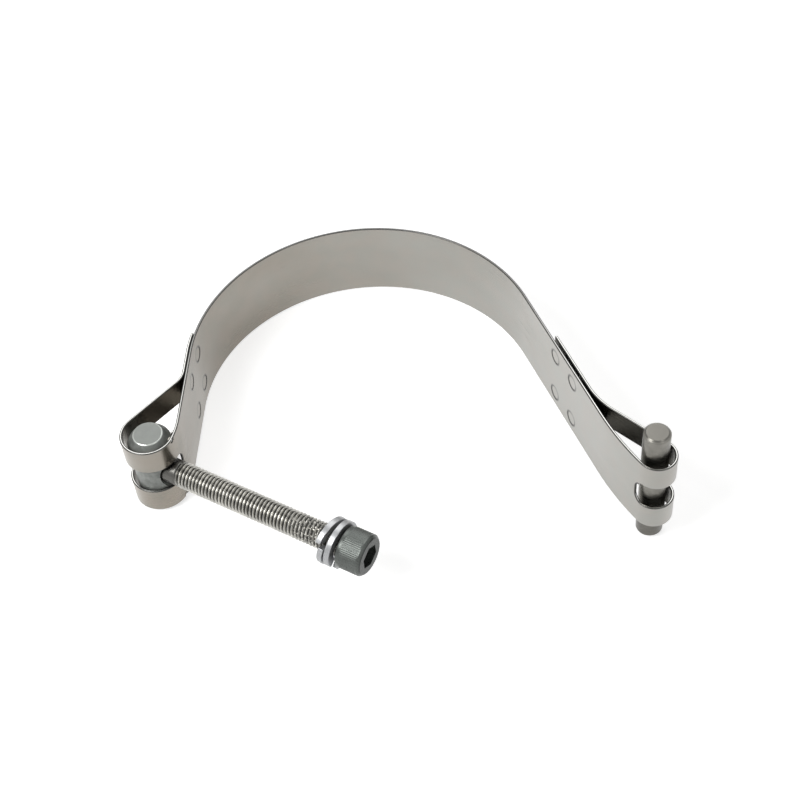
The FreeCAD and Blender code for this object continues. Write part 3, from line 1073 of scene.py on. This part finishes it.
class OBJECT_OT_clamp_pin(bpy.types.Operator):
    """Model the plain hinge pin with chamfered ends and its centre mark"""
    bl_idname = "object.clamp_pin"
    bl_label = "Hinge pin"

    def execute(self, context):
        clear_selection()
        sizes = context.scene.clamp_pin
        centre = middle_of("hinge_pin")
        bpy.ops.mesh.primitive_cylinder_add(vertices=96, radius=sizes.radius, depth=sizes.length)
        pin = added("pin")
        round_edges(pin, sizes.chamfer, segments=1)
        fine_edge = 0.07 * MM
        round_edges(pin, fine_edge, angle=30.0)
        bpy.ops.mesh.primitive_cone_add(
            vertices=32, radius1=0.0, radius2=2 * sizes.mark_radius, depth=2 * sizes.mark_depth,
            location=(0, 0, sizes.length / 2))
        cut(pin, added("mark"))
        place(pin, Matrix.Translation(centre))
        tidy(pin, 30.0)
        finish_piece(pin, "plain_pin", "pin", "hinge_pin",
                     pin_finish(context.scene.clamp_finish, centre, sizes.length))
        return {"FINISHED"}


def pin_finish(colours, centre, length):
    """Ground steel with fine marks round it, with a painted shadow towards its lower end and
    painted shade on its upper face.
    """
    metal = Surface("ground_steel")
    spot = metal.piece(location=-centre)
    rings = metal.noise(metal.piece(location=-centre, scale=(60.0, 60.0, 2200.0)), 1.0, 3.0, 0.6)
    base = metal.cloudy(metal.noise(spot, 230.0, 3.0, 0.5), colours.pin, 0.75)
    height = metal.part(spot, "Z")
    # Painted shadow on the pin's lower part, below the strap.
    painted_low_shadow = metal.ramp(height, -18 * MM, -12 * MM, 0.62, 0.0)
    # Painted shade on the pin's upper face.
    upper_face_shade = metal.ramp(height, length / 2 - 0.50 * MM, length / 2 - 0.42 * MM)
    base = metal.layers(base, (painted_low_shadow, shade(colours.pin, 0.4)),
                        (upper_face_shade, shade(colours.pin, 0.58)))
    return metal.finish(Base_Color=base, Roughness=metal.ramp(rings, 0.3, 0.7, 0.24, 0.36),
                        Normal=metal.bump(rings, 0.15, 0.02 * MM))


# Studio

class OBJECT_OT_clamp_studio(bpy.types.Operator):
    """Set up the floor, the soft light and the camera"""
    bl_idname = "object.clamp_studio"
    bl_label = "Studio"

    def execute(self, context):
        clear_selection()
        settings = context.scene.clamp_studio
        self.floor(settings)
        self.lights()
        self.world(context.scene, settings)
        self.camera(context.scene, settings)
        context.scene.view_settings.view_transform = "Standard"
        return {"FINISHED"}

    @staticmethod
    def floor(settings):
        """A wide pale floor that the part rests on; eye and metal see it a little whiter."""
        bpy.ops.mesh.primitive_plane_add(size=6.0)
        floor = added("floor")
        rise_x, rise_y = settings.floor_slope
        for vertex in floor.data.vertices:
            vertex.co.z = rise_x * vertex.co.x + rise_y * vertex.co.y + settings.floor_height
        pale = (0.86, 0.86, 0.855, 1.0)
        ground = Surface("pale_floor", 0.0)
        glow = ground.times(ground.seen_directly(), settings.floor_glow)
        floor.data.materials.append(ground.finish(
            Base_Color=pale, Roughness=0.9, Specular_IOR_Level=0.0,
            Emission_Color=WHITE, Emission_Strength=glow))

    @staticmethod
    def lights():
        """Soft lamps: a key from the upper left, one from behind and above, a weak fill."""
        for name, place_at, size, power, look in (
                ("key_light", (-0.50, -0.24, 0.62), 0.40, 3.6, (0.0, -0.02, 0.0)),
                ("back_light", (0.02, 0.62, 0.76), 0.66, 2.6, (0.0, 0.0, 0.0)),
                ("fill_light", (0.42, -0.50, 0.62), 0.20, 0.6, (0.0, -0.02, 0.0))):
            bpy.ops.object.light_add(type="AREA", location=place_at)
            lamp = named(name)
            lamp.data.shape = "SQUARE"
            lamp.data.size = size
            lamp.data.energy = power
            away = Vector(place_at) - Vector(look)
            lamp.rotation_euler = away.to_track_quat("Z", "Y").to_euler()

    @staticmethod
    def world(scene, settings):
        """Light that is paler from the front left and dim from above, seen as plain white."""
        world = bpy.data.worlds.new("studio")
        world.use_nodes = True
        scene.world = world
        room = Nodes(world.node_tree)
        way = room.node("ShaderNodeTexCoord").outputs["Generated"]
        front = room.node("ShaderNodeVectorMath", {0: way, 1: settings.room_front},
                          operation="DOT_PRODUCT").outputs["Value"]
        even, low_sky, high_sky = 0.8, 0.25, 0.85
        around = room.ramp(front, -even, even, settings.room_back_level,
                           settings.room_front_level)
        height = room.ramp(room.part(way, "Z"), low_sky, high_sky,
                           interpolation_type="SMOOTHSTEP")
        strength = room.mix_value(height, around, settings.room_top_level)
        background = room.tree.nodes["Background"].inputs
        room.feed(background["Strength"], room.mix_value(room.seen_directly(), strength, 1.0))
        room.feed(background["Color"], WHITE)

    @staticmethod
    def camera(scene, settings):
        """The view from the front and above, with the mouth of the clamp towards the eye."""
        bpy.ops.object.camera_add(location=settings.camera_place)
        camera = named("camera")
        level_ahead = math.pi / 2
        turned = Matrix.Translation(settings.camera_place)
        for angle, axis in ((-settings.yaw, "Z"), (level_ahead + settings.pitch, "X"),
                            (settings.roll, "Z")):
            turned = turned @ Matrix.Rotation(angle, 4, axis)
        camera.matrix_world = turned
        camera.data.lens = settings.lens
        camera.data.sensor_width = 36.0
        camera.data.clip_start = 0.01
        scene.camera = camera


class VIEW3D_PT_clamp(bpy.types.Panel):
    """Buttons and sizes of the clamp"""
    bl_label = "Exhaust clamp"
    bl_idname = "VIEW3D_PT_clamp"
    bl_space_type = "VIEW_3D"
    bl_region_type = "UI"
    bl_category = "Clamp"

    def draw(self, context):
        for operator in OPERATORS:
            self.layout.operator(operator.bl_idname)
        for attribute, group in GROUPS.items():
            box = self.layout.box()
            box.label(text=group.__doc__)
            for name in group.__annotations__:
                box.prop(getattr(context.scene, attribute), name)


GROUPS = {
    "clamp_strap": StrapSizes,
    "clamp_left": StrapEndSizes,
    "clamp_right": StrapEndSizes,
    "clamp_trunnion": TrunnionSizes,
    "clamp_screw": ScrewSizes,
    "clamp_washers": WasherSizes,
    "clamp_pin": PinSizes,
    "clamp_finish": Finishes,
    "clamp_studio": StudioSettings,
}

OPERATORS = (OBJECT_OT_clamp_strap, OBJECT_OT_clamp_trunnion, OBJECT_OT_clamp_screw,
             OBJECT_OT_clamp_washers, OBJECT_OT_clamp_pin, OBJECT_OT_clamp_studio)

RIGHT_END = {
    "arc_angle": math.radians(74.2), "leg": 66.2 * MM, "flare_radius": 121.4 * MM,
    "flare_angle": math.radians(12.5), "eye_bore": 6.3 * MM, "tail_reach": 38.5 * MM,
    "bend_radius": 30.0 * MM, "weld_lap": 28.3 * MM, "weld_gap": 0.8 * MM,
    "weld_rows": 20.6 * MM, "weld_margin": 4.6 * MM, "window_lead": 2.4 * MM,
    "window_land": -4.0 * MM,
}


CLASSES = (*dict.fromkeys(GROUPS.values()), *OPERATORS, VIEW3D_PT_clamp)


def register():
    for each in CLASSES:
        bpy.utils.register_class(each)
    for name, group in GROUPS.items():
        setattr(bpy.types.Scene, name, PointerProperty(type=group))


def unregister():
    for name in GROUPS:
        delattr(bpy.types.Scene, name)
    for each in reversed(CLASSES):
        bpy.utils.unregister_class(each)


def main():
    register()
    for name, value in RIGHT_END.items():
        setattr(bpy.context.scene.clamp_right, name, value)
    bpy.ops.object.clamp_studio()
    bpy.ops.object.clamp_strap()
    bpy.ops.object.clamp_trunnion()
    bpy.ops.object.clamp_screw()
    bpy.ops.object.clamp_washers()
    bpy.ops.object.clamp_pin()
    clear_selection()


if __name__ == "__main__":
    main()
